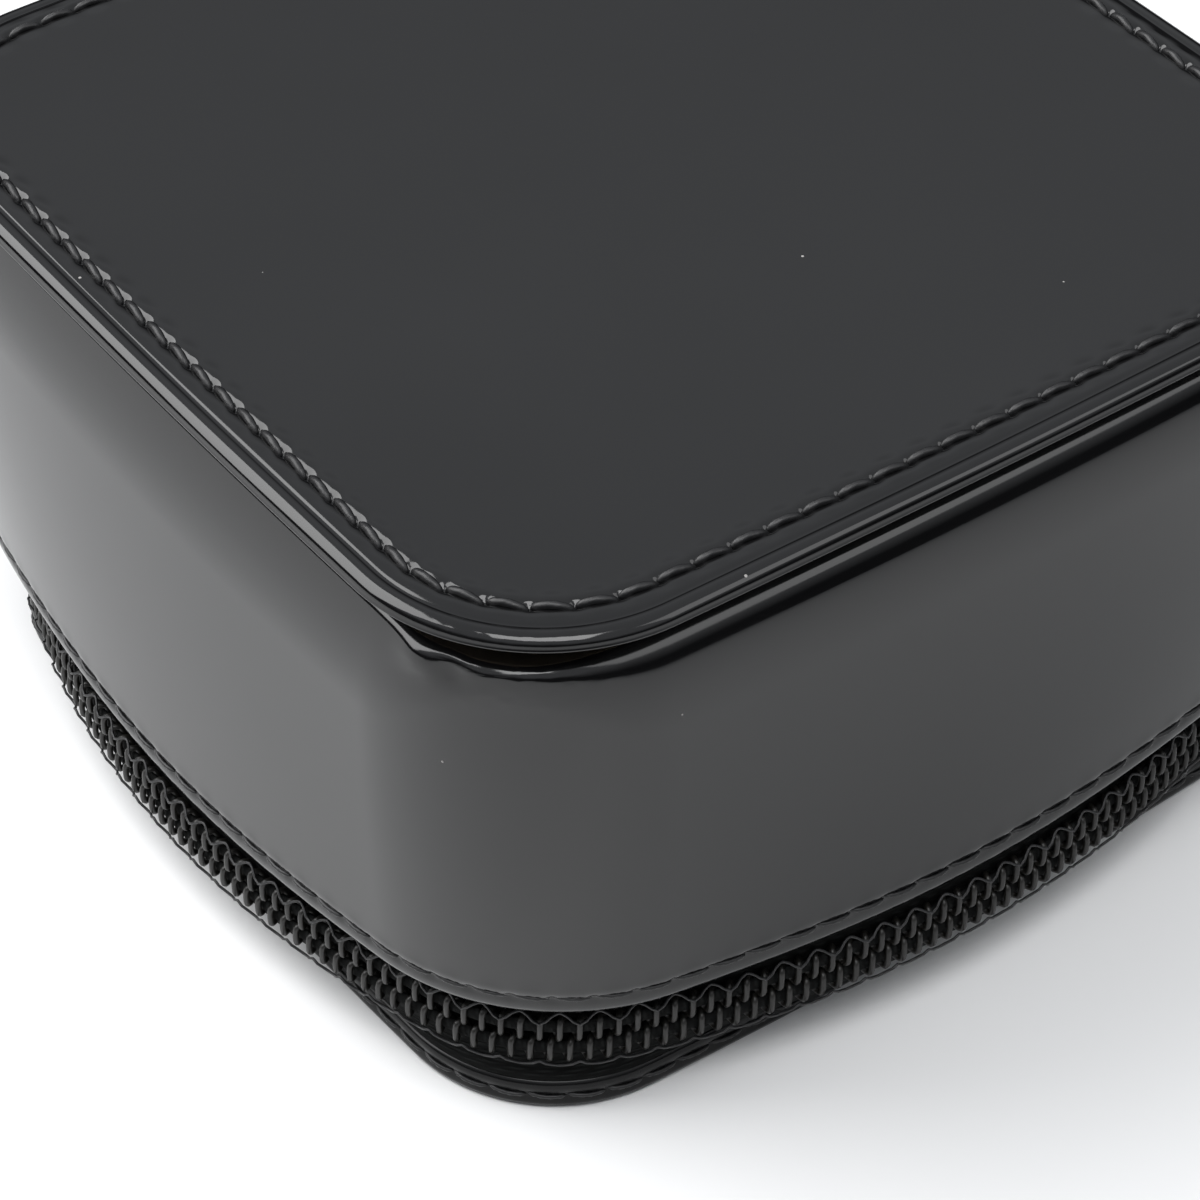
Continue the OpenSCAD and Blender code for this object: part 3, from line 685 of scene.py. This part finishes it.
def coil(name, body, node, low_z, high_z, offset):
    """A continuous monofilament coil, flattened so that its outer bars stand upright, round a filler
    cord. offset is the share of a turn by which it starts late."""
    start, end = coil_span()
    turns = int((end - start) / COIL_PITCH) - 1
    per_turn = 16
    a = np.arange(turns * per_turn + 1) * 2 * math.pi / per_turn
    s = start + COIL_PITCH * (a / (2 * math.pi) - 0.15 * np.sin(a) + offset)
    out = (COIL_HALF - COIL_WIRE) * np.sign(np.cos(a)) * np.abs(np.cos(a)) ** 0.55
    half_high = (high_z - low_z) / 2
    z = (low_z + high_z) / 2 + (half_high - COIL_WIRE) * np.sign(np.sin(a)) * np.abs(np.sin(a)) ** 0.75
    points, normals = coil_line.place(coil_line.spots(s))
    obj = tubes(name, [ring_at(points, normals, out, z)], COIL_WIRE)
    dress(obj, body, "zip_coil", COIL, node)
    s = np.arange(start, end, 1.0)
    points, normals = coil_line.place(coil_line.spots(s))
    middle = ring_at(points, normals, -0.12, (low_z + high_z) / 2 + np.zeros(len(s)))
    cord = sweep_cord(name + "_cord", middle, normals, 0.24, half_high - 0.55)
    return dress(cord, body, "thread", TAPE)


def sweep_cord(name, middle, normals, half_deep, half_high):
    """A flattened filler cord: an oval section carried along an open path, closed at both ends."""
    sides = 10
    rings = []
    for a in np.arange(sides) * 2 * math.pi / sides:
        rise = np.full(len(middle), half_high * math.sin(a))
        shift = np.column_stack([normals * half_deep * math.cos(a), rise])
        rings.append(middle + shift)
    sections = np.array(rings).transpose(1, 0, 2)
    return sweep(name, sections, closed_section=False)


def coil_thread(name, body, anchor_z, away):
    """The sewing thread that holds a coil on its tape: a U over every second turn. shape gives a U's
    distance along (in cells), out from coil_line and away from its anchor."""
    first = 0.7
    start, end = coil_span()
    cells = int((end - start) / (2 * COIL_PITCH)) - 1
    shape = [(0.0, 0.78, 0.0), (0.16, 0.74, 0.3), (0.3, 0.52, 0.62), (0.42, 0.4, 0.8), (0.5, 0.36, 0.86),
             (0.58, 0.4, 0.8), (0.7, 0.52, 0.62), (0.84, 0.74, 0.3)]
    s, out, z = [], [], []
    for i in range(cells):
        for along, lift, drop in shape:
            s.append(start + 2 * COIL_PITCH * (i + along) + first)
            out.append(lift)
            z.append(anchor_z + away * drop)
    points, normals = coil_line.place(coil_line.spots(s))
    obj = tubes(name, [ring_at(points, normals, np.array(out), np.array(z))], 0.11, sides=6)
    return dress(obj, body, "thread", THREAD)


def zip_parts():
    tapes()
    coil("upper_coil", "lid", "zip_coil_upper", CHAIN_Z - COIL_CROSS, CHAIN_Z + COIL_REACH, 0.5)
    coil("lower_coil", "base", "zip_coil_lower", CHAIN_Z - COIL_REACH, CHAIN_Z + COIL_CROSS, 0.0)
    coil_thread("upper_coil_thread", "lid", CHAIN_Z + 2.2, 1.0)
    coil_thread("lower_coil_thread", "base", CHAIN_Z - 1.75, -1.0)


# ---- hard parts and soft inside ----

def finished_copy(node, name, bevel, segments=2):
    """A new object of a CAD node's shape, with clean flat faces and rounded edges."""
    mesh = frame["nodes"][node].data.copy()
    obj = bpy.data.objects.new(name, mesh)
    obj.matrix_world = frame["nodes"][node].matrix_world
    bpy.context.scene.collection.objects.link(obj)
    bm = bmesh.new()
    bm.from_mesh(mesh)
    bmesh.ops.remove_doubles(bm, verts=bm.verts, dist=1e-6)
    bmesh.ops.dissolve_limit(bm, angle_limit=math.radians(1), verts=bm.verts, edges=bm.edges)
    edges = [e for e in bm.edges if len(e.link_faces) == 2 and e.calc_face_angle(0) > math.radians(35)]
    bmesh.ops.bevel(bm, geom=edges, offset=bevel * MM, segments=segments, profile=0.6, affect="EDGES",
                    clamp_overlap=True)
    bmesh.ops.recalc_face_normals(bm, faces=bm.faces)
    bm.to_mesh(mesh)
    bm.free()
    mesh.polygons.foreach_set("use_smooth", np.ones(len(mesh.polygons), bool))
    mesh.set_sharp_from_angle(angle=math.radians(40))
    return obj


def hard_parts():
    for node, name, bevel, body, slot, material in (
            ("zip_slider", "slider_body", 0.16, "slider", "zip_metal", METAL),
            ("zip_pull", "pull_link", 0.10, "pull", "zip_metal", METAL),
            ("zip_bottom_stop", "bottom_stop", 0.2, "base", "zip_metal", METAL),
            ("zip_top_stop_lower", "top_stop_lower", 0.25, "base", "zip_metal", METAL),
            ("zip_top_stop_upper", "top_stop_upper", 0.25, "lid", "zip_metal", METAL),
            ("pull_tab", "tab_leather", 0.35, "pull", "patent_leather", WALL_PATENT),
            ("tray_frame", "tray_walls", 0.5, "base", "suede", SUEDE),
            ("tray_divider_long", "long_divider", 0.45, "base", "suede", SUEDE),
            ("tray_divider_cross", "cross_divider", 0.45, "base", "suede", SUEDE),
            ("mirror_frame", "mirror_surround", 0.6, "lid", "patent_leather", WALL_PATENT),
            ("lid_mirror", "mirror_glass", 0.4, "lid", "mirror", MIRROR)):
        dress(finished_copy(node, name, bevel, 3), body, slot, material, node)


def crowned(node, name, size, cap, squeeze):
    """A padded piece: the CAD solid, remeshed in voxels of a size, drawn in by squeeze and blown up as
    cloth. It swells by no more than cap, and not past the remeshed solid's box. All are millimetres."""
    obj = bpy.data.objects.new(name, frame["nodes"][node].data.copy())
    obj.matrix_world = frame["nodes"][node].matrix_world
    bpy.context.scene.collection.objects.link(obj)
    bpy.context.view_layer.objects.active = obj
    remesh = obj.modifiers.new("remesh", "REMESH")
    remesh.mode = "VOXEL"
    remesh.voxel_size = size * MM
    apply(obj, remesh)
    count = len(obj.data.vertices)
    rest = np.empty(count * 3)
    obj.data.vertices.foreach_get("co", rest)
    rest = rest.reshape(-1, 3)
    low, high = rest.min(0), rest.max(0)
    centre = (low + high) / 2
    start = centre + (rest - centre) * (1 - squeeze * MM / ((high - low) / 2))
    obj.data.vertices.foreach_set("co", start.ravel())
    cloth = obj.modifiers.new("cloth", "CLOTH")
    cloth.settings.use_pressure = True
    cloth.settings.uniform_pressure_force = 4
    cloth.settings.effector_weights.gravity = 0
    cloth.point_cache.frame_start = 1
    cloth.point_cache.frame_end = CLOTH_STEPS
    for step in range(1, CLOTH_STEPS + 1):
        bpy.context.scene.frame_set(step)
    apply(obj, cloth)
    bpy.context.scene.frame_set(1)
    swollen = np.empty(count * 3)
    obj.data.vertices.foreach_get("co", swollen)
    moved = swollen.reshape(-1, 3) - start
    reach = np.linalg.norm(moved, axis=1, keepdims=True)
    moved *= np.minimum(1, cap * MM / np.maximum(reach, 1e-9))
    final = np.clip(start + moved, low, high)
    obj.data.vertices.foreach_set("co", final.ravel())
    smooth = obj.modifiers.new("finer", "SUBSURF")
    smooth.levels = smooth.render_levels = 1
    apply(obj, smooth)
    obj.data.polygons.foreach_set("use_smooth", np.ones(len(obj.data.polygons), bool))
    return obj


def apply(obj, modifier):
    """Turns a modifier's result into the object's own mesh."""
    depsgraph = bpy.context.evaluated_depsgraph_get()
    mesh = bpy.data.meshes.new_from_object(obj.evaluated_get(depsgraph))
    obj.modifiers.remove(modifier)
    obj.data = mesh


def soft_parts():
    for node, name, body, slot, material, squeeze in (
            ("ring_roll_front", "roll_front", "base", "roll_suede", ROLL_SUEDE, 0.3),
            ("ring_roll_middle", "roll_middle", "base", "roll_suede", ROLL_SUEDE, 0.3),
            ("ring_roll_back", "roll_back", "base", "roll_suede", ROLL_SUEDE, 0.3),
            ("compartment_pad_left", "pad_left", "base", "suede", SUEDE, 0.4),
            ("compartment_pad_right", "pad_right", "base", "suede", SUEDE, 0.4),
            ("lid_top_pad", "lid_pad", "lid", "suede", SUEDE, 0.4)):
        obj = crowned(node, name, 0.8, 0.5, squeeze)
        dress(obj, body, slot, material, node)


def linings():
    obj = dress(finished_copy("base_lining", "floor_lining", 0.2), "base", "suede", SUEDE, "base_lining")
    obj = dress(finished_copy("lid_wall_lining", "wall_lining", 0.15), "lid", "suede", SUEDE,
                "lid_wall_lining")


def boards():
    for node in ("base_board", "lid_top_board", "lid_wall_board"):
        data = frame["nodes"][node].data
        data.materials.clear()
        data.materials.append(BOARD)


# ---- set ----

def floor():
    """A wide sheet of paper, a hair below the case."""
    far = 3
    mesh = bpy.data.meshes.new("floor")
    mesh.from_pydata([(-far, -far, 0), (far, -far, 0), (far, far, 0), (-far, far, 0)], [], [(0, 1, 2, 3)])
    obj = bpy.data.objects.new("floor", mesh)
    obj.location.z = cad_low[2] - 0.02 * MM
    bpy.context.scene.collection.objects.link(obj)
    mesh.materials.append(paper())


def softbox(name, location, size, radiance, aim=(0, 0, 0.02)):
    """A square area light of a given brightness that faces a point."""
    light = bpy.data.lights.new(name, "AREA")
    light.size = size
    light.energy = radiance * math.pi * size * size
    obj = bpy.data.objects.new(name, light)
    obj.location = location
    obj.rotation_euler = (Vector(aim) - Vector(location)).to_track_quat("-Z", "Y").to_euler()
    bpy.context.scene.collection.objects.link(obj)


def sky():
    """A pale room: dim near the horizon, even and soft higher up."""
    world = bpy.data.worlds.new("room")
    world.use_nodes = True
    tree = world.node_tree
    coords = tree.nodes.new("ShaderNodeTexCoord")
    split = tree.nodes.new("ShaderNodeSeparateXYZ")
    ramp = tree.nodes.new("ShaderNodeValToRGB")
    tree.links.new(coords.outputs["Generated"], split.inputs[0])
    tree.links.new(split.outputs["Z"], ramp.inputs["Fac"])
    tree.links.new(ramp.outputs[0], tree.nodes["Background"].inputs["Color"])
    ramp.color_ramp.elements[0].position = 0.30
    ramp.color_ramp.elements[0].color = (0.02, 0.02, 0.022, 1)
    ramp.color_ramp.elements[1].position = 0.62
    ramp.color_ramp.elements[1].color = (0.66, 0.68, 0.71, 1)
    tree.nodes["Background"].inputs["Strength"].default_value = 1.0
    bpy.context.scene.world = world


def camera():
    """The viewing angle: above the front left corner, looking down on it."""
    azimuth, elevation, distance = math.radians(-35.98), math.radians(41.97), 255.73
    corner = np.array([TOP_LOW[0], TOP_LOW[1], TOP_Z])
    corner_to_target = np.array([12.11, 4.34, 0.0])
    target = corner + corner_to_target
    back = np.array([math.sin(azimuth) * math.cos(elevation), -math.cos(azimuth) * math.cos(elevation),
                     math.sin(elevation)])
    data = bpy.data.cameras.new("camera")
    data.lens = 117.76
    data.sensor_width = 36
    data.clip_start = 0.01
    obj = bpy.data.objects.new("camera", data)
    obj.location = (target + back * distance) * MM
    obj.rotation_euler = Vector(-back).to_track_quat("-Z", "Y").to_euler()
    bpy.context.scene.collection.objects.link(obj)
    bpy.context.scene.camera = obj


top_panel()
lid_wall()
base_pan()
spine()
threads()
zip_parts()
hard_parts()
soft_parts()
linings()
boards()
floor()
softbox("key", (-0.12, -0.15, 0.53), 0.26, 6.0)
softbox("front_right", (0.26, -0.34, 0.50), 0.26, 1.8)
softbox("left_window", (-0.46, 0.56, 0.70), 0.90, 4.9)
sky()
camera()
bpy.context.scene.view_settings.view_transform = "Standard"
